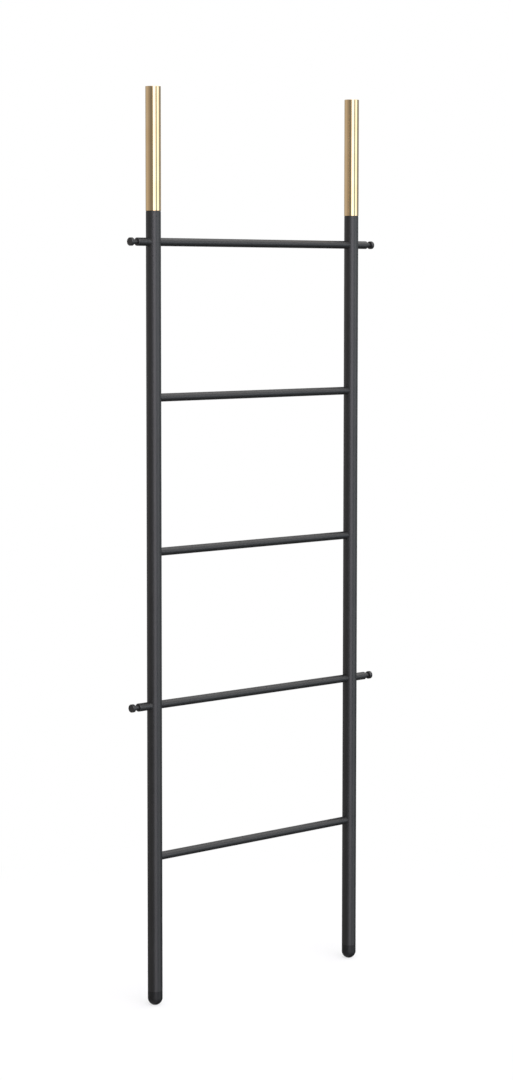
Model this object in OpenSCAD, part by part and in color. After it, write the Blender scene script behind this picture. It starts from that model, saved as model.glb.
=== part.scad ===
// Towel ladder. It stands on two domed feet, so the wall that it leans on holds it up. The origin
// is there: midway between the back edges of the two brass tips, at their tops. X runs along the
// rungs, Y from front to back and Z up along the rails. All sizes are in mm.

/* [Overall] */

// distance between the two rails' axes
rail_spacing = 490; // [440:5:560]
// height from the floor to the top of the brass tips
total_h = 1560; // [1500:5:1700]

/* [Rails] */

// outside diameter of the dark rails and of the feet
rail_d = 25.4; // [24:0.1:30]
// wall thickness of the rails
rail_wall = 1.5; // [1.2:0.1:2]
// chamfer round the top edge of a rail
rail_chamfer = 0.3; // [0.2:0.1:0.6]

/* [Brass tips] */

// length of a brass tip, joint to top
tip_len = 206.5; // [150:0.5:260]
// outside diameter of a brass tip
tip_d = 26; // [25.6:0.1:28]
// wall thickness of a brass tip
tip_wall = 1.5; // [1.2:0.1:2]
// chamfer round both ends of a brass tip
tip_chamfer = 0.3; // [0.2:0.1:0.6]
// depth of the cap's face below the top edge of the tip
cap_recess = 0.3; // [0.2:0.1:1]
// thickness of the cap's face
cap_t = 1.6; // [1:0.1:3]
// length of the cap's skirt inside the tip
cap_skirt = 8; // [5:0.5:15]

/* [Joint spigots] */

// height of the dark line between rail and tip
collar_h = 0.8; // [0.5:0.1:2]
// diameter of the spigot's collar, which shows as that line
collar_d = 24.4; // [23.6:0.1:25]
// length of the spigot inside the rail
spigot_low = 26; // [15:1:40]
// length of the spigot inside the brass tip
spigot_up = 22; // [15:1:40]
// bore through the spigot
spigot_bore = 14; // [8:0.5:17]

/* [Feet] */

// height of a foot below the rail's end
foot_h = 25.3; // [18:0.1:30]
// length of a foot's stem inside the rail
stem_len = 24; // [15:1:35]
// bore up into a foot's stem, open at its top
stem_bore = 12; // [6:0.5:15]
// how far the ribs stand out of a foot's stem
rib_depth = 1.2; // [0.6:0.1:2]
// height of one rib
rib_h = 3; // [2:0.1:5]
// number of ribs on a stem
rib_count = 4; // [2:1:5]

/* [Rungs] */

// outside diameter of the rungs and pegs
rung_d = 14; // [12:0.1:16]
// wall thickness of a rung
rung_wall = 1.5; // [1.2:0.1:2]
// height of the lowest rung's axis
low_rung_h = 257; // [200:1:320]
// distance from the joint under a brass tip down to the top rung's axis
top_rung_drop = 51.7; // [45:0.1:120]

/* [Pegs] */

// reach of a peg's end from the rail's axis
peg_reach = 54.8; // [50:0.1:70]
// length of the button at the peg's end
button_len = 6.5; // [4:0.1:9]
// width of the groove behind the button
groove_w = 9.5; // [5:0.1:10]
// diameter of the peg inside the groove
neck_d = 8; // [6:0.1:10]
// rounding of the button's and the groove's outer edges
peg_round = 1.2; // [0.3:0.1:1.5]
// length of the tapped hole in a peg
peg_bore_len = 15; // [10:1:16]

/* [Saddle washers] */

// diameter of a saddle washer
saddle_d = 14.4; // [14.4:0.1:17]
// thickness of a saddle washer at the rail's side
saddle_t = 3; // [2:0.1:5]

/* [Studs and inserts] */

// outside diameter of a stud's thread
stud_d = 8; // [6:0.5:8]
// length of a stud inside the rung's insert
stud_grip = 18; // [12:1:25]
// length of a threaded insert
insert_len = 30; // [26:1:40]
// depth of the insert's face inside the rung's end
insert_recess = 3; // [2.8:0.1:6]
// chamfer at both ends of a stud
stud_chamfer = 0.8; // [0.3:0.1:1.5]

/* [Clearances] */

// radial gap between a rung and its hole in the rail
rung_gap = 0.1; // [0.05:0.05:0.4]
// radial gap between a stud and the holes it only passes through
stud_gap = 0.25; // [0.1:0.05:0.5]
// radial gap between a stud and the threads that hold it
thread_gap = 0.05; // [0.02:0.01:0.1]
// gap between a stud's end and the bottom of the peg's hole
stud_end_gap = 1; // [0.5:0.1:2]

/* [Hidden] */

$fn = 96;
side_x = rail_spacing / 2;
rail_r = rail_d / 2;
rail_in_r = rail_r - rail_wall;
tip_r = tip_d / 2;
tip_in_r = tip_r - tip_wall;
joint_h = total_h - tip_len;
rail_top_h = joint_h - collar_h;
stem_r = rail_in_r - rib_depth;
rung_r = rung_d / 2;
rung_in_r = rung_r - rung_wall;
rung_hole_r = rung_r + rung_gap;
saddle_x = rail_r + saddle_t;
groove_x = peg_reach - button_len - groove_w;
button_x = peg_reach - button_len;
insert_x = rail_in_r - insert_recess;
stud_in_x = insert_x - stud_grip;
stud_out_x = saddle_x + peg_bore_len - stud_end_gap;
top_rung_h = joint_h - top_rung_drop;
rung_pitch = (top_rung_h - low_rung_h) / 4;
wall_rest_h = total_h - tip_chamfer;
arc_steps = 5;
cut = 1;

// height of rung n above the floor, where rung 1 is the top one
function rung_h(n) = top_rung_h - (n - 1) * rung_pitch;

// points along an arc round a centre, from one angle to another
function arc(centre, r, from, to) = [
    for (i = [0:arc_steps])
        let (a = from + (to - from) * i / arc_steps)
        centre + r * [cos(a), sin(a)]
];

// moves a piece, drawn from the floor and the rails' plane, so that the wall rest is the origin
module from_wall_rest() {
    translate([0, -tip_r, -wall_rest_h]) children();
}

// places a piece that is drawn round X at a rail, pointing outwards, at a height
module at_rail(side, h) {
    translate([side * side_x, 0, h]) rotate([0, 90 * side, 0]) children();
}

// a dark rail with its rung holes and, at rungs 1 and 4, its stud holes
module rail(side) {
    color([0.1, 0.1, 0.11])
    difference() {
        translate([side * side_x, 0, 0])
        rotate_extrude()
        polygon([
            [rail_in_r, foot_h], [rail_r, foot_h],
            [rail_r, rail_top_h - rail_chamfer], [rail_r - rail_chamfer, rail_top_h],
            [rail_in_r, rail_top_h]
        ]);
        for (n = [1:5])
            at_rail(side, rung_h(n)) translate([0, 0, -rail_r - cut])
            cylinder(r = rung_hole_r, h = rail_r + cut);
        for (n = [1, 4])
            at_rail(side, rung_h(n))
            cylinder(r = stud_d / 2 + stud_gap, h = rail_r + cut);
    }
}

// a brass tube that continues the rail to the top
module brass_tip(side) {
    color([0.78, 0.62, 0.32])
    translate([side * side_x, 0, 0])
    rotate_extrude()
    polygon([
        [tip_in_r, joint_h], [tip_r - tip_chamfer, joint_h], [tip_r, joint_h + tip_chamfer],
        [tip_r, total_h - tip_chamfer], [tip_r - tip_chamfer, total_h], [tip_in_r, total_h]
    ]);
}

// a pressed cup that closes the top of the tip
module top_cap(side) {
    face = total_h - cap_recess;
    color([0.78, 0.62, 0.32])
    translate([side * side_x, 0, 0])
    rotate_extrude()
    polygon([
        [0, face - cap_t], [tip_in_r - cap_t, face - cap_t], [tip_in_r - cap_t, face - cap_skirt],
        [tip_in_r, face - cap_skirt], [tip_in_r, face], [0, face]
    ]);
}

// a turned plug, pressed into the rail and screwed into the tip
module joint_spigot(side) {
    color([0.45, 0.46, 0.48])
    translate([side * side_x, 0, 0])
    rotate_extrude()
    polygon([
        [spigot_bore / 2, rail_top_h - spigot_low],
        [rail_in_r - rail_chamfer, rail_top_h - spigot_low],
        [rail_in_r, rail_top_h - spigot_low + rail_chamfer], [rail_in_r, rail_top_h],
        [collar_d / 2, rail_top_h], [collar_d / 2, joint_h], [tip_in_r, joint_h],
        [tip_in_r, joint_h + spigot_up - tip_chamfer],
        [tip_in_r - tip_chamfer, joint_h + spigot_up], [spigot_bore / 2, joint_h + spigot_up]
    ]);
}

// the outline of a foot's stem, with ribs that slope upwards and hold against the rail's wall
function stem_outline() = [
    for (i = [0:rib_count - 1])
        let (z = foot_h + stem_len * (i + 0.4) / (rib_count + 0.4))
        each [
            [stem_r, z], [rail_in_r, z],
            [rail_in_r, z + rib_h * 0.3], [stem_r, z + rib_h]
        ]
];

// a domed rubber foot with a ribbed stem pushed into the rail
module foot(side) {
    color([0.05, 0.05, 0.05])
    translate([side * side_x, 0, 0])
    union() {
        intersection() {
            translate([0, 0, rail_r]) sphere(r = rail_r);
            cylinder(r = rail_r, h = rail_r);
        }
        rotate_extrude()
        polygon(concat(
            [[0, rail_r], [rail_r, rail_r], [rail_r, foot_h], [stem_r, foot_h]],
            stem_outline(),
            [
                [stem_r, foot_h + stem_len], [stem_bore / 2, foot_h + stem_len],
                [stem_bore / 2, foot_h], [0, foot_h]
            ]
        ));
    }
}

// a rung tube whose ends are milled round to bear on the rails' outer walls from inside
module rung(n) {
    color([0.1, 0.1, 0.11])
    translate([0, 0, rung_h(n)])
    intersection() {
        rotate([0, 90, 0])
        difference() {
            cylinder(r = rung_r, h = rail_spacing + rail_d, center = true);
            cylinder(r = rung_in_r, h = rail_spacing + rail_d + cut, center = true);
        }
        union() {
            cube([rail_spacing, rung_d + cut, rung_d + cut], center = true);
            for (side = [-1, 1])
                translate([side * side_x, 0, 0])
                cylinder(r = rail_in_r, h = rung_d + cut, center = true);
        }
    }
}

// a turned peg with a groove and a button, tapped to take its stud
module peg(side, n) {
    round_r = rung_r - peg_round;
    color([0.1, 0.1, 0.11])
    at_rail(side, rung_h(n))
    difference() {
        rotate_extrude()
        polygon(concat(
            [[0, saddle_x], [rung_r, saddle_x]],
            arc([round_r, groove_x - peg_round], peg_round, 0, 90),
            [[neck_d / 2, groove_x], [neck_d / 2, button_x]],
            arc([round_r, button_x + peg_round], peg_round, -90, 0),
            arc([round_r, peg_reach - peg_round], peg_round, 0, 90),
            [[0, peg_reach]]
        ));
        translate([0, 0, saddle_x - cut])
        cylinder(r = stud_d / 2 + thread_gap, h = peg_bore_len + cut);
    }
}

// a washer that is flat on the peg's side and hollowed to fit the rail on the other
module saddle_washer(side, n) {
    color([0.1, 0.1, 0.11])
    difference() {
        at_rail(side, rung_h(n))
        difference() {
            cylinder(r = saddle_d / 2, h = saddle_x);
            translate([0, 0, -cut]) cylinder(r = stud_d / 2 + stud_gap, h = saddle_x + 2 * cut);
        }
        translate([side * side_x, 0, rung_h(n)])
        cylinder(r = rail_r, h = saddle_d + cut, center = true);
    }
}

// a threaded stud from the rung's insert through the rail's outer wall into the peg
module stud(side, n) {
    r = stud_d / 2;
    color([0.6, 0.61, 0.63])
    at_rail(side, rung_h(n))
    rotate_extrude()
    polygon([
        [0, stud_in_x], [r - stud_chamfer, stud_in_x], [r, stud_in_x + stud_chamfer],
        [r, stud_out_x - stud_chamfer], [r - stud_chamfer, stud_out_x], [0, stud_out_x]
    ]);
}

// a threaded insert pressed into the rung's end
module rung_insert(side, n) {
    color([0.6, 0.61, 0.63])
    at_rail(side, rung_h(n))
    translate([0, 0, insert_x - insert_len])
    difference() {
        cylinder(r = rung_in_r, h = insert_len);
        translate([0, 0, -cut]) cylinder(r = stud_d / 2 + thread_gap, h = insert_len + 2 * cut);
    }
}

module rail_left() { from_wall_rest() rail(-1); }
module rail_right() { from_wall_rest() rail(1); }
module brass_tip_left() { from_wall_rest() brass_tip(-1); }
module brass_tip_right() { from_wall_rest() brass_tip(1); }
module top_cap_left() { from_wall_rest() top_cap(-1); }
module top_cap_right() { from_wall_rest() top_cap(1); }
module joint_spigot_left() { from_wall_rest() joint_spigot(-1); }
module joint_spigot_right() { from_wall_rest() joint_spigot(1); }
module foot_left() { from_wall_rest() foot(-1); }
module foot_right() { from_wall_rest() foot(1); }
module rung_1() { from_wall_rest() rung(1); }
module rung_2() { from_wall_rest() rung(2); }
module rung_3() { from_wall_rest() rung(3); }
module rung_4() { from_wall_rest() rung(4); }
module rung_5() { from_wall_rest() rung(5); }
module peg_top_left() { from_wall_rest() peg(-1, 1); }
module peg_top_right() { from_wall_rest() peg(1, 1); }
module peg_low_left() { from_wall_rest() peg(-1, 4); }
module peg_low_right() { from_wall_rest() peg(1, 4); }
module saddle_top_left() { from_wall_rest() saddle_washer(-1, 1); }
module saddle_top_right() { from_wall_rest() saddle_washer(1, 1); }
module saddle_low_left() { from_wall_rest() saddle_washer(-1, 4); }
module saddle_low_right() { from_wall_rest() saddle_washer(1, 4); }
module stud_top_left() { from_wall_rest() stud(-1, 1); }
module stud_top_right() { from_wall_rest() stud(1, 1); }
module stud_low_left() { from_wall_rest() stud(-1, 4); }
module stud_low_right() { from_wall_rest() stud(1, 4); }
module insert_top_left() { from_wall_rest() rung_insert(-1, 1); }
module insert_top_right() { from_wall_rest() rung_insert(1, 1); }
module insert_low_left() { from_wall_rest() rung_insert(-1, 4); }
module insert_low_right() { from_wall_rest() rung_insert(1, 4); }

rail_left();
rail_right();
brass_tip_left();
brass_tip_right();
top_cap_left();
top_cap_right();
joint_spigot_left();
joint_spigot_right();
foot_left();
foot_right();
rung_1();
rung_2();
rung_3();
rung_4();
rung_5();
peg_top_left();
peg_top_right();
peg_low_left();
peg_low_right();
saddle_top_left();
saddle_top_right();
saddle_low_left();
saddle_low_right();
stud_top_left();
stud_top_right();
stud_low_left();
stud_low_right();
insert_top_left();
insert_top_right();
insert_low_left();
insert_low_right();
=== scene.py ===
"""The looks of the towel ladder: its tubes, pegs, studs and feet as finished pieces, its coat,
brass, steel and rubber, and the pale studio that it is shown in. All sizes are in metres."""

import math

import bmesh
import bpy
from mathutils import Matrix, Vector


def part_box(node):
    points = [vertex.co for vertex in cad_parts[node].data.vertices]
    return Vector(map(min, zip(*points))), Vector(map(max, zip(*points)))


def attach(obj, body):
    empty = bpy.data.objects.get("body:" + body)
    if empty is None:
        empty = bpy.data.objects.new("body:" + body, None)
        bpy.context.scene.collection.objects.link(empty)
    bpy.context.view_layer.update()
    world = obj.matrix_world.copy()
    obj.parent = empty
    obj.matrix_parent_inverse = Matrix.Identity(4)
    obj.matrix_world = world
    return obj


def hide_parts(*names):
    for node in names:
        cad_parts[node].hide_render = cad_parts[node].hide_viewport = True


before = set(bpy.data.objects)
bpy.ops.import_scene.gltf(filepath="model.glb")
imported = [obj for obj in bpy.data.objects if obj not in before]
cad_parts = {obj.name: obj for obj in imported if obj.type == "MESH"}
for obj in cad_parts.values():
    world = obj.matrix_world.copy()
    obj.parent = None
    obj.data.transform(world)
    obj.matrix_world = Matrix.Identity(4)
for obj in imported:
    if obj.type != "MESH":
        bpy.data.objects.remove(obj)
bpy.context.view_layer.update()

# how finely round shapes are divided: sides of a turned piece, steps in a rounded edge and in a
# foot's dome, and steps from a saddle washer's hole to its rim
TURN_STEPS = 96
ARC_STEPS = 5
DOME_STEPS = 24
SADDLE_STEPS = 4
# an edge that turns by more than this is a crisp one
CRISP_ANGLE = math.radians(32)
# how far from a rounded edge a long face gets a ring, so that its light stays even, and how long
# a face must be to get one
RING_GAP = 0.0004
LONG_FACE = 4 * RING_GAP
# vertices closer than this are one
MERGE = 1e-7

SIDES = {"left": -1, "right": 1}
RUNGS = range(1, 6)
# the rungs that the pegs are in line with
PEG_RUNGS = {"top": 1, "low": 4}


def corners(node):
    """The lowest and highest corners of a node."""
    low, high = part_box(node)
    return Vector(low), Vector(high)


# sizes and places, taken from the CAD parts in model.glb
rail_low, rail_high = corners("rail_right")
rail_x = (rail_low.x + rail_high.x) / 2
rail_y = (rail_low.y + rail_high.y) / 2
rail_r = (rail_high.x - rail_low.x) / 2
tip_low, tip_high = corners("brass_tip_right")
tip_r = (tip_high.x - tip_low.x) / 2
cap_low, cap_high = corners("top_cap_right")
tip_in_r = (cap_high.x - cap_low.x) / 2
spigot_low, spigot_high = corners("joint_spigot_right")
collar_r = (spigot_high.x - spigot_low.x) / 2
foot_low, foot_high = corners("foot_right")
rung_low, rung_high = corners("rung_1")
rung_r = (rung_high.z - rung_low.z) / 2
# the rungs' ends bear on the rails' outer walls from inside
rail_in_r = rung_high.x - rail_x
insert_low, insert_high = corners("insert_top_right")
rung_in_r = (insert_high.z - insert_low.z) / 2
stud_low, stud_high = corners("stud_top_right")
stud_r = (stud_high.z - stud_low.z) / 2
saddle_low, saddle_high = corners("saddle_top_right")
saddle_r = (saddle_high.z - saddle_low.z) / 2
peg_low, peg_high = corners("peg_top_right")
# how far a saddle washer and a peg reach from the rail's axis
saddle_reach = peg_low.x - rail_x
peg_reach = peg_high.x - rail_x
floor_z = foot_low.z

# details that the boxes don't give, first the rounding of a piece's edges
EDGE_ROUND = 0.0003
# a peg: its button, its groove, the neck in the groove, the rounding of its rims, its stud's hole
BUTTON_LEN = 0.0065
GROOVE_W = 0.0095
NECK_R = 0.004
PEG_ROUND = 0.0012
TAP_DEPTH = 0.015
# gaps all round: a stud in a threaded hole, a stud in a plain hole, a rung in its hole
TAP_GAP = 0.00005
STUD_GAP = 0.00025
RUNG_GAP = 0.0001
# the wall of a cap, and the bores of a joining spigot and of a foot's stem
CAP_WALL = 0.0016
SPIGOT_BORE_R = 0.007
STEM_BORE_R = 0.006
# ribs on a foot's stem: how far they stand out, their height and number, where a rib starts as a
# part of the way to the next, and how much of its height is straight
STEM_RIB_DEPTH = 0.0012
STEM_RIB_H = 0.003
STEM_RIBS = 4
STEM_RIB_START = 0.4
STEM_RIB_STRAIGHT = 0.3
# a stud's thread: its pitch, depth and steps in a turn, the flats at its root and its crest as
# parts of the pitch, and the chamfer at the stud's ends
THREAD_PITCH = 0.00125
THREAD_DEPTH = 0.0007
THREAD_STEPS = 36
ROOT_FLAT = 0.25
CREST_FLAT = 0.125
STUD_CHAMFER = 0.0008


def rung_height(n):
    """The height of rung n's axis."""
    low, high = corners(f"rung_{n}")
    return (low.z + high.z) / 2


def peg_height(level):
    """The height of the pegs at the top or the low level."""
    return rung_height(PEG_RUNGS[level])


def arc(r, h, radius, start, end, steps=ARC_STEPS):
    """Points along a rounded edge: its centre, its radius, and its first and last angles."""
    angles = [math.radians(start + (end - start) * i / steps) for i in range(steps + 1)]
    return [(r + radius * math.cos(a), h + radius * math.sin(a)) for a in angles]


def ringed(outline):
    """Adds a point beside both ends of each long stretch of an outline."""
    points = outline[:1]
    for (r, h), (next_r, next_h) in zip(outline, outline[1:]):
        length = math.hypot(next_r - r, next_h - h)
        if length > LONG_FACE:
            for part in (RING_GAP / length, 1 - RING_GAP / length):
                points.append((r + (next_r - r) * part, h + (next_h - h) * part))
        points.append((next_r, next_h))
    return points


def turned(outline, closed=False):
    """Spins an outline of (radius, height) points round Z. An open one starts and ends on Z."""
    shape = bmesh.new()
    points = [shape.verts.new((r, 0, h)) for r, h in outline]
    following = points[1:] + points[:1] if closed else points[1:]
    for a, b in zip(points, following):
        shape.edges.new((a, b))
    bmesh.ops.spin(
        shape, geom=shape.verts[:] + shape.edges[:], cent=(0, 0, 0), axis=(0, 0, 1),
        dvec=(0, 0, 0), angle=2 * math.pi, steps=TURN_STEPS, use_merge=True,
    )
    bmesh.ops.remove_doubles(shape, verts=shape.verts, dist=MERGE)
    bmesh.ops.recalc_face_normals(shape, faces=shape.faces)
    return shape


def upright(shape, side):
    """Sets a piece that was turned round Z on a rail's axis."""
    bmesh.ops.translate(shape, verts=shape.verts, vec=(SIDES[side] * rail_x, rail_y, 0))
    return shape


def laid(shape, x, way, height):
    """Lays a piece that was turned round Z along X, pointing left (way -1) or right (way 1)."""
    place = Matrix.Translation((x, rail_y, height))
    turn = Matrix.Rotation(way * math.pi / 2, 4, "Y")
    bmesh.ops.transform(shape, matrix=place @ turn, verts=shape.verts)
    return shape


def outward(shape, side, height):
    """Lays a piece that was turned round Z so that it points out of a rail's side."""
    return laid(shape, SIDES[side] * rail_x, SIDES[side], height)


def mesh_of(shape, name):
    """Makes a shape a mesh, with smooth faces and with crisp edges where it turns sharply."""
    for face in shape.faces:
        face.smooth = True
    for edge in shape.edges:
        edge.smooth = edge.calc_face_angle(0) < CRISP_ANGLE
    mesh = bpy.data.meshes.new(name)
    shape.to_mesh(mesh)
    shape.free()
    return mesh


def finish(shape, node, material):
    """Makes the finished piece that stands for a node."""
    piece = bpy.data.objects.new(f"{node}_finished", mesh_of(shape, node))
    bpy.context.scene.collection.objects.link(piece)
    piece.data.materials.append(material)
    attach(piece, "root")
    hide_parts(node)


def drilled(shape, holes):
    """Cuts a group of drills out of a shape."""
    scene = bpy.context.scene
    blank = bpy.data.objects.new("blank", mesh_of(shape, "blank"))
    drills = bpy.data.objects.new("drills", mesh_of(holes, "drills"))
    scene.collection.objects.link(blank)
    scene.collection.objects.link(drills)
    cut = blank.modifiers.new("holes", "BOOLEAN")
    cut.operation = "DIFFERENCE"
    cut.solver = "EXACT"
    cut.object = drills
    result = bpy.data.meshes.new_from_object(
        blank.evaluated_get(bpy.context.evaluated_depsgraph_get())
    )
    shape = bmesh.new()
    shape.from_mesh(result)
    bmesh.ops.remove_doubles(shape, verts=shape.verts, dist=MERGE)
    for used in (blank, drills):
        bpy.data.objects.remove(used)
    bpy.data.meshes.remove(result)
    return shape


def nodes_of(material):
    """The node tree of a material and its main shader."""
    material.use_nodes = True
    tree = material.node_tree
    return tree, tree.nodes["Principled BSDF"]


def link(tree, output, socket):
    """Joins a node's output to a socket of another node."""
    tree.links.new(output, socket)


# noise values mostly lie between these
NOISE_LOW, NOISE_HIGH = 0.3, 0.7


def speckle(tree, size, detail=2.0, stretch=(1, 1, 1)):
    """Cloudy noise whose marks are about size metres across, on Object coordinates."""
    where = tree.nodes.new("ShaderNodeTexCoord")
    mapping = tree.nodes.new("ShaderNodeMapping")
    mapping.inputs["Scale"].default_value = stretch
    noise = tree.nodes.new("ShaderNodeTexNoise")
    noise.inputs["Scale"].default_value = 1 / size
    noise.inputs["Detail"].default_value = detail
    link(tree, where.outputs["Object"], mapping.inputs["Vector"])
    link(tree, mapping.outputs["Vector"], noise.inputs["Vector"])
    return noise.outputs["Fac"]


def spread(tree, value, low, high):
    """Spreads a noise value over a range."""
    ranged = tree.nodes.new("ShaderNodeMapRange")
    ranged.inputs["From Min"].default_value = NOISE_LOW
    ranged.inputs["From Max"].default_value = NOISE_HIGH
    ranged.inputs["To Min"].default_value = low
    ranged.inputs["To Max"].default_value = high
    link(tree, value, ranged.inputs["Value"])
    return ranged.outputs["Result"]


def tinted(tree, value, low, high):
    """A colour between two, chosen by a noise value."""
    ramp = tree.nodes.new("ShaderNodeValToRGB")
    ramp.color_ramp.elements[0].position = NOISE_LOW
    ramp.color_ramp.elements[0].color = (*low, 1)
    ramp.color_ramp.elements[1].position = NOISE_HIGH
    ramp.color_ramp.elements[1].color = (*high, 1)
    link(tree, value, ramp.inputs["Fac"])
    return ramp.outputs["Color"]


def relief(tree, value, depth, under=None):
    """A bump of a depth in metres, on top of another one if there is one."""
    bump = tree.nodes.new("ShaderNodeBump")
    bump.inputs["Strength"].default_value = 1
    bump.inputs["Distance"].default_value = depth
    link(tree, value, bump.inputs["Height"])
    if under:
        link(tree, under, bump.inputs["Normal"])
    return bump.outputs["Normal"]


def dress(tree, shader, colour, rough, normal):
    """Gives a shader its colour, its roughness and its relief."""
    link(tree, colour, shader.inputs["Base Color"])
    link(tree, rough, shader.inputs["Roughness"])
    link(tree, normal, shader.inputs["Normal"])


def black_powder_coat():
    """Satin black powder coat: a slight orange peel under a very fine grain."""
    material = bpy.data.materials.new("black_powder_coat")
    tree, shader = nodes_of(material)
    shader.inputs["IOR"].default_value = 1.63
    cloud = speckle(tree, size=0.05, detail=3)
    colour = tinted(tree, cloud, low=(0.005, 0.005, 0.005), high=(0.0075, 0.0075, 0.0075))
    rough = spread(tree, speckle(tree, size=0.02), low=0.37, high=0.41)
    peel = relief(tree, speckle(tree, size=0.0016, detail=1), depth=0.00001)
    grain = relief(tree, speckle(tree, size=0.0003, detail=1), depth=0.0000015, under=peel)
    dress(tree, shader, colour, rough, grain)
    return material


def polished_brass():
    """Polished brass with the faint lines of a belt that ran round the tube."""
    material = bpy.data.materials.new("polished_brass")
    tree, shader = nodes_of(material)
    shader.inputs["Metallic"].default_value = 1
    cloud = speckle(tree, size=0.03, detail=3)
    colour = tinted(tree, cloud, low=(0.81, 0.59, 0.33), high=(0.85, 0.64, 0.38))
    lines = speckle(tree, size=0.0004, detail=3, stretch=(0.02, 0.02, 1))
    rough = spread(tree, lines, low=0.06, high=0.09)
    dress(tree, shader, colour, rough, relief(tree, lines, depth=0.0000003))
    return material


def turned_steel(name, low, high, metallic, rough):
    """Turned steel with the fine grain that a tool leaves, between two colours."""
    material = bpy.data.materials.new(name)
    tree, shader = nodes_of(material)
    shader.inputs["Metallic"].default_value = metallic
    colour = tinted(tree, speckle(tree, size=0.006, detail=3), low, high)
    marks = speckle(tree, size=0.0003, detail=2)
    dress(tree, shader, colour, spread(tree, marks, *rough), relief(tree, marks, depth=0.000002))
    return material


def moulded_rubber():
    """Dark moulded rubber with a fine matt grain."""
    material = bpy.data.materials.new("moulded_rubber")
    tree, shader = nodes_of(material)
    shader.inputs["IOR"].default_value = 1.42
    cloud = speckle(tree, size=0.012, detail=3)
    colour = tinted(tree, cloud, low=(0.005, 0.005, 0.0052), high=(0.0075, 0.0075, 0.0078))
    rough = spread(tree, speckle(tree, size=0.004), low=0.36, high=0.46)
    dress(tree, shader, colour, rough, relief(tree, speckle(tree, size=0.0004), depth=0.000006))
    return material


COAT = black_powder_coat()
BRASS = polished_brass()
STEEL = turned_steel(
    "plated_steel", low=(0.55, 0.56, 0.58), high=(0.66, 0.67, 0.69), metallic=1,
    rough=(0.26, 0.4),
)
# near-black steel for the joining spigots: a blackened finish, made darker still so that the
# collar under the brass carries painted shade
BLACK_STEEL_WITH_PAINTED_SHADE = turned_steel(
    "black_steel", low=(0.008, 0.0075, 0.006), high=(0.012, 0.011, 0.009), metallic=0,
    rough=(0.5, 0.6),
)
RUBBER = moulded_rubber()


def rail(side):
    """A rail tube with rounded end edges, drilled for the rungs and the studs."""
    rung_d = 2 * rung_r
    # rings round the tube above and below each rung keep its shading even beside the holes
    rings = sorted(rung_height(n) + s * rung_d for n in RUNGS for s in (-1, 1))
    low, high = rail_low.z, rail_high.z
    outline = arc(rail_r - EDGE_ROUND, low + EDGE_ROUND, EDGE_ROUND, -90, 0)
    outline += [(rail_r, z) for z in rings]
    outline += arc(rail_r - EDGE_ROUND, high - EDGE_ROUND, EDGE_ROUND, 0, 90)
    outline += [(rail_in_r, high)]
    outline += [(rail_in_r, z) for z in reversed(rings)]
    outline += [(rail_in_r, low)]
    holes = bmesh.new()
    for n in RUNGS:
        drill(holes, side, n, radius=rung_r + RUNG_GAP, way=-1)
    for n in PEG_RUNGS.values():
        drill(holes, side, n, radius=stud_r + STUD_GAP, way=1)
    return drilled(upright(turned(ringed(outline), closed=True), side), holes)


def drill(holes, side, n, radius, way):
    """Adds a drill at rung n, through the rail's inner wall (way -1) or its outer wall (way 1)."""
    length = 2 * rail_r
    reach = SIDES[side] * way * rail_r
    place = Matrix.Translation((SIDES[side] * rail_x + reach, rail_y, rung_height(n)))
    bmesh.ops.create_cone(
        holes, cap_ends=True, segments=TURN_STEPS, radius1=radius, radius2=radius,
        depth=length, matrix=place @ Matrix.Rotation(math.pi / 2, 4, "Y"),
    )


def brass_tip(side):
    """A brass tube with softly rounded end edges."""
    low, high = tip_low.z, tip_high.z
    outline = arc(tip_r - EDGE_ROUND, low + EDGE_ROUND, EDGE_ROUND, -90, 0)
    outline += arc(tip_r - EDGE_ROUND, high - EDGE_ROUND, EDGE_ROUND, 0, 90)
    outline += [(tip_in_r, high), (tip_in_r, low)]
    return upright(turned(ringed(outline), closed=True), side)


def top_cap(side):
    """A pressed cup that closes a brass tip, with a soft edge round its face."""
    face, skirt = cap_high.z, cap_low.z
    outline = [(0, face - CAP_WALL), (tip_in_r - CAP_WALL, face - CAP_WALL)]
    outline += [(tip_in_r - CAP_WALL, skirt), (tip_in_r, skirt)]
    outline += arc(tip_in_r - EDGE_ROUND, face - EDGE_ROUND, EDGE_ROUND, 0, 90)
    outline += [(0, face)]
    return upright(turned(ringed(outline)), side)


def joint_spigot(side):
    """A turned plug with the collar that shows as a dark line under the brass, partly the shade of
    its recess and partly painted shade in its near-black steel.
    """
    low, high = spigot_low.z, spigot_high.z
    outline = [(SPIGOT_BORE_R, low)]
    outline += arc(rail_in_r - EDGE_ROUND, low + EDGE_ROUND, EDGE_ROUND, -90, 0)
    outline += [(rail_in_r, rail_high.z), (collar_r, rail_high.z), (collar_r, tip_low.z)]
    outline += [(tip_in_r, tip_low.z)]
    outline += arc(tip_in_r - EDGE_ROUND, high - EDGE_ROUND, EDGE_ROUND, 0, 90)
    outline += [(SPIGOT_BORE_R, high)]
    return upright(turned(ringed(outline), closed=True), side)


def foot(side):
    """A domed foot with a ribbed, hollow stem inside the rail."""
    shoulder, top = rail_low.z, foot_high.z
    stem_r = rail_in_r - STEM_RIB_DEPTH
    outline = arc(0, floor_z + rail_r, rail_r, -90, 0, steps=DOME_STEPS)
    outline += arc(rail_r - EDGE_ROUND, shoulder - EDGE_ROUND, EDGE_ROUND, 0, 90)
    outline += [(stem_r, shoulder)]
    for i in range(STEM_RIBS):
        part = (i + STEM_RIB_START) / (STEM_RIBS + STEM_RIB_START)
        low = shoulder + (top - shoulder) * part
        outline += [(stem_r, low), (rail_in_r, low)]
        outline += [(rail_in_r, low + STEM_RIB_STRAIGHT * STEM_RIB_H), (stem_r, low + STEM_RIB_H)]
    outline += [(stem_r, top), (STEM_BORE_R, top), (STEM_BORE_R, shoulder), (0, shoulder)]
    return upright(turned(ringed(outline)), side)


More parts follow.
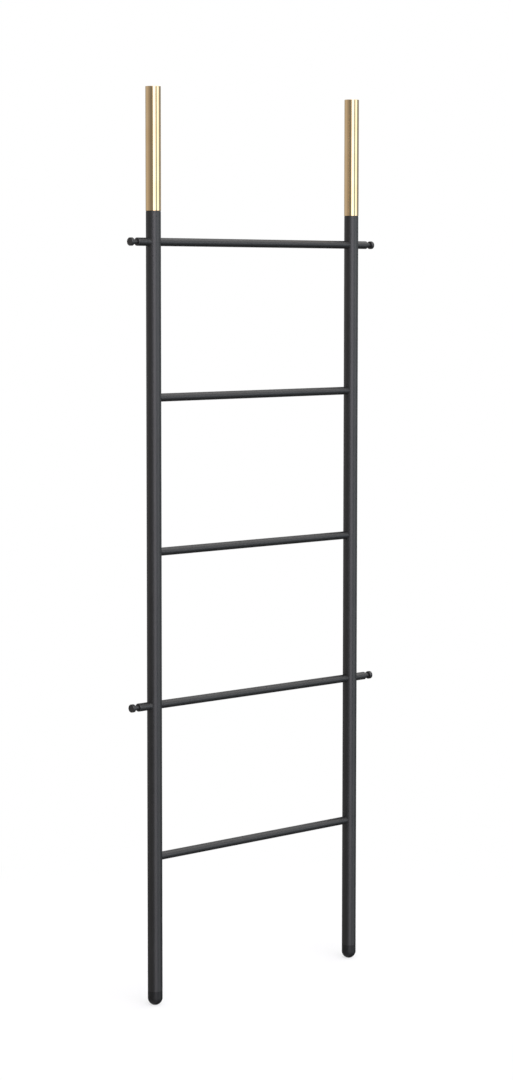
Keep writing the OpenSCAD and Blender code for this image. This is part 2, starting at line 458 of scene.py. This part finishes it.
def rung(n):
    """A rung tube whose ends are milled to the round of the rails' outer walls."""
    half = rung_high.x
    outline = [(rung_in_r, -half), (rung_r, -half), (rung_r, half), (rung_in_r, half)]
    shape = laid(turned(outline, closed=True), x=0, way=1, height=rung_height(n))
    for point in shape.verts:
        bow = math.sqrt(rail_in_r ** 2 - (point.co.y - rail_y) ** 2)
        point.co.x = math.copysign(rail_x + bow, point.co.x)
    return shape


def peg(side, level):
    """A turned peg with a groove behind its button, tapped to take its stud."""
    button = peg_reach - BUTTON_LEN
    groove = button - GROOVE_W
    tap_r, tap_end = stud_r + TAP_GAP, saddle_reach + TAP_DEPTH
    round_r = rung_r - PEG_ROUND
    outline = [(0, tap_end), (tap_r, tap_end), (tap_r, saddle_reach)]
    outline += arc(rung_r - EDGE_ROUND, saddle_reach + EDGE_ROUND, EDGE_ROUND, -90, 0)
    outline += arc(round_r, groove - PEG_ROUND, PEG_ROUND, 0, 90)
    outline += [(NECK_R, groove), (NECK_R, button)]
    outline += arc(round_r, button + PEG_ROUND, PEG_ROUND, -90, 0)
    outline += arc(round_r, peg_reach - PEG_ROUND, PEG_ROUND, 0, 90)
    outline += [(0, peg_reach)]
    return outward(turned(ringed(outline)), side, peg_height(level))


def saddle_washer(side, level):
    """A washer that is flat on the peg's side and hollowed to the rail's round on the other."""
    hole_r = stud_r + STUD_GAP
    width = saddle_r - hole_r
    outline = [(hole_r + width * i / SADDLE_STEPS, 0) for i in range(SADDLE_STEPS + 1)]
    outline += arc(saddle_r - EDGE_ROUND, saddle_reach - EDGE_ROUND, EDGE_ROUND, 0, 90)
    outline += [(hole_r, saddle_reach)]
    shape = outward(turned(outline, closed=True), side, peg_height(level))
    axis_x = SIDES[side] * rail_x
    for point in shape.verts:
        if abs(point.co.x - axis_x) < MERGE:
            bow = math.sqrt(rail_r ** 2 - (point.co.y - rail_y) ** 2)
            point.co.x = axis_x + SIDES[side] * bow
    return shape


def threaded_stud():
    """A stud that is threaded from end to end, with chamfered ends, round Z."""
    low, high = stud_low.x - rail_x, stud_high.x - rail_x
    shape = thread(low, high)
    for point in shape.verts:
        from_end = max(0, min(point.co.z - low, high - point.co.z))
        limit = stud_r - STUD_CHAMFER + from_end
        r = math.hypot(point.co.x, point.co.y)
        if r > limit:
            point.co.x *= limit / r
            point.co.y *= limit / r
    return shape


def thread(low, high):
    """A right-hand thread round Z between two heights: one ridge, spun upwards and cut square."""
    root_r = stud_r - THREAD_DEPTH
    flank = (1 - ROOT_FLAT - CREST_FLAT) / 2
    crest = ROOT_FLAT + flank
    ridge = [
        (root_r, 0), (root_r, ROOT_FLAT), (stud_r, crest), (stud_r, crest + CREST_FLAT),
        (root_r, 1),
    ]
    shape = bmesh.new()
    start = low - THREAD_PITCH
    points = [shape.verts.new((r, 0, start + part * THREAD_PITCH)) for r, part in ridge]
    for a, b in zip(points, points[1:]):
        shape.edges.new((a, b))
    turns = math.ceil((high - low) / THREAD_PITCH) + 1
    bmesh.ops.spin(
        shape, geom=shape.verts[:] + shape.edges[:], cent=(0, 0, 0), axis=(0, 0, 1),
        dvec=(0, 0, THREAD_PITCH / THREAD_STEPS), angle=2 * math.pi * turns,
        steps=THREAD_STEPS * turns,
    )
    bmesh.ops.remove_doubles(shape, verts=shape.verts, dist=MERGE)
    for height, way in ((low, -1), (high, 1)):
        cut = bmesh.ops.bisect_plane(
            shape, geom=shape.verts[:] + shape.edges[:] + shape.faces[:], dist=MERGE,
            plane_co=(0, 0, height), plane_no=(0, 0, way), clear_outer=True,
        )
        rim = [part for part in cut["geom_cut"] if isinstance(part, bmesh.types.BMEdge)]
        bmesh.ops.edgeloop_fill(shape, edges=rim)
    bmesh.ops.recalc_face_normals(shape, faces=shape.faces)
    return shape


def rung_insert(side, level):
    """A threaded insert with rounded end edges."""
    low, high = insert_low.x - rail_x, insert_high.x - rail_x
    tap_r = stud_r + TAP_GAP
    outline = [(tap_r, low)]
    outline += arc(rung_in_r - EDGE_ROUND, low + EDGE_ROUND, EDGE_ROUND, -90, 0)
    outline += arc(rung_in_r - EDGE_ROUND, high - EDGE_ROUND, EDGE_ROUND, 0, 90)
    outline += [(tap_r, high)]
    return outward(turned(ringed(outline), closed=True), side, peg_height(level))


stud_shape = threaded_stud()
for side in SIDES:
    finish(rail(side), f"rail_{side}", COAT)
    finish(brass_tip(side), f"brass_tip_{side}", BRASS)
    finish(top_cap(side), f"top_cap_{side}", BRASS)
    # the spigot's near-black steel paints shade into the collar's dark line under the brass
    finish(joint_spigot(side), f"joint_spigot_{side}", BLACK_STEEL_WITH_PAINTED_SHADE)
    finish(foot(side), f"foot_{side}", RUBBER)
    for level in PEG_RUNGS:
        finish(peg(side, level), f"peg_{level}_{side}", COAT)
        finish(saddle_washer(side, level), f"saddle_{level}_{side}", COAT)
        stud = outward(stud_shape.copy(), side, peg_height(level))
        finish(stud, f"stud_{level}_{side}", STEEL)
        finish(rung_insert(side, level), f"insert_{level}_{side}", STEEL)
stud_shape.free()
for n in RUNGS:
    finish(rung(n), f"rung_{n}", COAT)


# the camera: where it stands from the ladder's middle on the floor, which way it looks, its lens
CAMERA_X = -3.5937
CAMERA_Y = -3.5234
CAMERA_H = 1.2292
CAMERA_YAW = math.radians(44.415)
CAMERA_PITCH = math.radians(-5.045)
CAMERA_ROLL = math.radians(0.04)
CAMERA_LENS = 96.12


def set_camera():
    """The photograph's camera, to the front left of the ladder and a little above its middle."""
    data = bpy.data.cameras.new("camera")
    data.lens = CAMERA_LENS
    camera = bpy.data.objects.new("camera", data)
    bpy.context.scene.collection.objects.link(camera)
    place = Matrix.Translation((CAMERA_X, rail_y + CAMERA_Y, floor_z + CAMERA_H))
    yaw = Matrix.Rotation(CAMERA_YAW - math.pi / 2, 4, "Z")
    pitch = Matrix.Rotation(math.pi / 2 + CAMERA_PITCH, 4, "X")
    roll = Matrix.Rotation(CAMERA_ROLL, 4, "Z")
    camera.matrix_world = place @ yaw @ pitch @ roll
    bpy.context.scene.camera = camera


# colours of light
PLAIN = (1, 1, 1)
WARM = (1, 0.95, 0.93)
VIOLET = (0.95, 0.92, 1)
COOL = (0.92, 0.94, 1)
PALE = (0.88, 0.95, 1)
COLD = (0.6, 0.83, 1)
# light from all round the ladder, level with it: angle from the camera's side towards its right
# hand, in degrees, brightness, where 1 is white, and colour
LEVEL_LIGHT = [
    # white behind the ladder, and dim on its left
    (-180, 1.0, PLAIN), (-170, 1.0, PLAIN), (-162, 0.4, PLAIN), (-130, 0.5, PLAIN),
    (-100, 0.64, WARM), (-71, 0.46, WARM), (-54, 0.38, WARM), (-38, 0.27, PLAIN),
    (-3, 0.24, PLAIN),
    # the first panel, from beside the camera
    (-1, 1.4, COLD), (2, 2.6, VIOLET), (33, 2.5, VIOLET),
    # the gap between the panels
    (39, 0.65, COLD), (56, 0.65, COLD),
    # the second panel
    (62, 2.0, COOL), (90, 1.9, COOL), (94, 1.3, COLD),
    # dim again, round to the white behind the ladder
    (98, 0.45, COLD), (110, 0.42, PALE), (162, 0.33, PALE), (170, 1.0, PLAIN), (180, 1.0, PLAIN),
]
# the same for light that falls from above eye level: one wide panel, and a fainter one behind
HIGH_LIGHT = [
    (-180, 0.6, PLAIN), (-60, 0.4, PLAIN), (-35, 0.8, PLAIN), (-12, 2.3, VIOLET),
    (0, 4.0, VIOLET), (38, 4.0, VIOLET), (50, 2.8, PLAIN), (80, 1.1, PLAIN), (90, 0.65, PLAIN),
    (104, 0.6, PLAIN), (113, 2.0, PLAIN), (134, 2.2, PLAIN), (145, 1.1, PLAIN),
    (160, 0.7, PLAIN), (180, 0.6, PLAIN),
]
# the same for light that comes up from the floor, which is dark under the right-hand side
LOW_LIGHT = [
    (-180, 0.3, PLAIN), (-160, 0.45, PLAIN), (50, 0.45, PLAIN), (75, 0.02, PLAIN),
    (172, 0.02, PLAIN), (180, 0.3, PLAIN),
]
# how the level light changes with height: the sine of the height, and a factor for the light
FADING_LIGHT = [
    (-1.0, 0.4), (-0.4, 0.38), (-0.3, 0.26), (-0.235, 0.17), (-0.2, 0.26), (-0.12, 0.77),
    (-0.06, 1.2), (-0.03, 1.15), (0.01, 1.0), (1.0, 1.0),
]
# the brightest light, which a ramp keeps as 1, and the light from straight above
BRIGHTEST = 4.0
CEILING = 0.9
# sines of the heights between which one light passes into the next
LOW_FROM, LOW_TO = -0.74, -0.45
HIGH_FROM, HIGH_TO = 0.15, 0.23
CEILING_FROM, CEILING_TO = 0.76, 0.84


def light_ramp(tree, value, stops):
    """A ramp through lights, kept in the ramp as parts of the brightest."""
    ramp = tree.nodes.new("ShaderNodeValToRGB")
    elements = ramp.color_ramp.elements
    while len(elements) > 1:
        elements.remove(elements[0])
    for i, (at, bright, colour) in enumerate(stops):
        element = elements[0] if i == 0 else elements.new(at)
        element.position = at
        element.color = (*[bright / BRIGHTEST * part for part in colour], 1)
    link(tree, value, ramp.inputs["Fac"])
    return ramp.outputs["Color"]


def light_round(tree, turn, lights):
    """A ramp through lights that stand round the ladder, from behind it to behind it."""
    return light_ramp(tree, turn, [((angle + 180) / 360, *light) for angle, *light in lights])


def blended(tree, way, amount, first, second):
    """Two lights put together: the second mixed over the first, or multiplied with it."""
    blend = tree.nodes.new("ShaderNodeMixRGB")
    blend.blend_type = way
    for name, part in (("Fac", amount), ("Color1", first), ("Color2", second)):
        if isinstance(part, (int, float, tuple)):
            blend.inputs[name].default_value = part
        else:
            link(tree, part, blend.inputs[name])
    return blend.outputs["Color"]


def passing(tree, value, start, end):
    """How far a value has passed from the start to the end of a range, from 0 to 1."""
    ranged = tree.nodes.new("ShaderNodeMapRange")
    ranged.interpolation_type = "SMOOTHSTEP"
    ranged.inputs["From Min"].default_value = start
    ranged.inputs["From Max"].default_value = end
    link(tree, value, ranged.inputs["Value"])
    return ranged.outputs["Result"]


def calculate(tree, operation, *values):
    """A Math node whose inputs are sockets or numbers."""
    node = tree.nodes.new("ShaderNodeMath")
    node.operation = operation
    for socket, value in zip(node.inputs, values):
        if isinstance(value, (int, float)):
            socket.default_value = value
        else:
            link(tree, value, socket)
    return node.outputs["Value"]


def mixed(tree, amount, first, second):
    """Two shaders, the second mixed over the first."""
    either = tree.nodes.new("ShaderNodeMixShader")
    link(tree, amount, either.inputs["Fac"])
    link(tree, first, either.inputs[1])
    link(tree, second, either.inputs[2])
    return either.outputs["Shader"]


def studio_light(tree):
    """The studio's light from every direction, as parts of the brightest."""
    to_camera = Vector((CAMERA_X, CAMERA_Y, 0)).normalized()
    to_right = Vector((-to_camera.y, to_camera.x, 0))
    where = tree.nodes.new("ShaderNodeTexCoord").outputs["Generated"]
    parts = []
    for way in (to_camera, to_right):
        dot = tree.nodes.new("ShaderNodeVectorMath")
        dot.operation = "DOT_PRODUCT"
        dot.inputs[1].default_value = way
        link(tree, where, dot.inputs[0])
        parts.append(dot.outputs["Value"])
    split = tree.nodes.new("ShaderNodeSeparateXYZ")
    link(tree, where, split.inputs["Vector"])
    height = split.outputs["Z"]
    angle = calculate(tree, "ARCTAN2", parts[1], parts[0])
    turn = calculate(tree, "MULTIPLY_ADD", angle, 1 / (2 * math.pi), 0.5)
    rise = calculate(tree, "MULTIPLY_ADD", height, 0.5, 0.5)
    level = light_round(tree, turn, LEVEL_LIGHT)
    high = light_round(tree, turn, HIGH_LIGHT)
    low = light_round(tree, turn, LOW_LIGHT)
    # a factor isn't a part of the brightest light, so it is scaled up before the ramp divides it
    fading = [((sine + 1) / 2, factor * BRIGHTEST, PLAIN) for sine, factor in FADING_LIGHT]
    fade = light_ramp(tree, rise, fading)
    ceiling = (*[CEILING / BRIGHTEST] * 3, 1)
    light = blended(tree, "MULTIPLY", 1, level, fade)
    light = blended(tree, "MIX", passing(tree, height, LOW_FROM, LOW_TO), low, light)
    light = blended(tree, "MIX", passing(tree, height, HIGH_FROM, HIGH_TO), light, high)
    return blended(tree, "MIX", passing(tree, height, CEILING_FROM, CEILING_TO), light, ceiling)


def set_studio():
    """A pale studio: white to the eye and behind the ladder, soft bright panels at its front."""
    world = bpy.data.worlds.new("studio")
    bpy.context.scene.world = world
    world.use_nodes = True
    tree = world.node_tree
    tree.nodes.clear()
    light = studio_light(tree)
    room = tree.nodes.new("ShaderNodeBackground")
    link(tree, light, room.inputs["Color"])
    room.inputs["Strength"].default_value = BRIGHTEST
    white = tree.nodes.new("ShaderNodeBackground")
    white.inputs["Color"].default_value = (1, 1, 1, 1)
    rays = tree.nodes.new("ShaderNodeLightPath")
    seen = calculate(
        tree, "MAXIMUM", rays.outputs["Is Camera Ray"], rays.outputs["Is Transmission Ray"],
    )
    surface = mixed(tree, seen, room.outputs["Background"], white.outputs["Background"])
    output = tree.nodes.new("ShaderNodeOutputWorld")
    link(tree, surface, output.inputs["Surface"])


FLOOR_R = 4.0
FLOOR_COLOUR = (0.92, 0.92, 0.92, 1)
# distances from the ladder's middle between which the floor passes into white
FLOOR_FADE_FROM, FLOOR_FADE_TO = 0.3, 1.1
# how much of the floor is white paint that glows to the eye, and so how faint its shadow is
FLOOR_WHITE = 0.6


def pale_floor():
    """Matt pale paint that passes into glowing white away from the ladder."""
    material = bpy.data.materials.new("pale_floor")
    tree, shader = nodes_of(material)
    shader.inputs["Base Color"].default_value = FLOOR_COLOUR
    shader.inputs["Roughness"].default_value = 1
    shader.inputs["Specular IOR Level"].default_value = 0
    where = tree.nodes.new("ShaderNodeTexCoord")
    flat = tree.nodes.new("ShaderNodeVectorMath")
    flat.operation = "MULTIPLY"
    flat.inputs[1].default_value = (1, 1, 0)
    link(tree, where.outputs["Object"], flat.inputs[0])
    away = tree.nodes.new("ShaderNodeVectorMath")
    away.operation = "LENGTH"
    link(tree, flat.outputs["Vector"], away.inputs[0])
    fade = passing(tree, away.outputs["Value"], FLOOR_FADE_FROM, FLOOR_FADE_TO)
    glow = calculate(tree, "MULTIPLY_ADD", fade, 1 - FLOOR_WHITE, FLOOR_WHITE)
    white = tree.nodes.new("ShaderNodeEmission")
    surface = mixed(tree, glow, shader.outputs["BSDF"], white.outputs["Emission"])
    link(tree, surface, tree.nodes["Material Output"].inputs["Surface"])
    return material


def set_floor():
    """A pale round floor that keeps the soft shadow and fades into the white round it."""
    shape = bmesh.new()
    bmesh.ops.create_circle(
        shape, cap_ends=True, segments=TURN_STEPS, radius=FLOOR_R,
        matrix=Matrix.Translation((0, rail_y, floor_z)),
    )
    floor = bpy.data.objects.new("floor", mesh_of(shape, "floor"))
    bpy.context.scene.collection.objects.link(floor)
    floor.data.materials.append(pale_floor())
    floor.visible_glossy = False
    floor.visible_shadow = False


set_camera()
set_studio()
set_floor()
bpy.context.scene.view_settings.view_transform = "Standard"
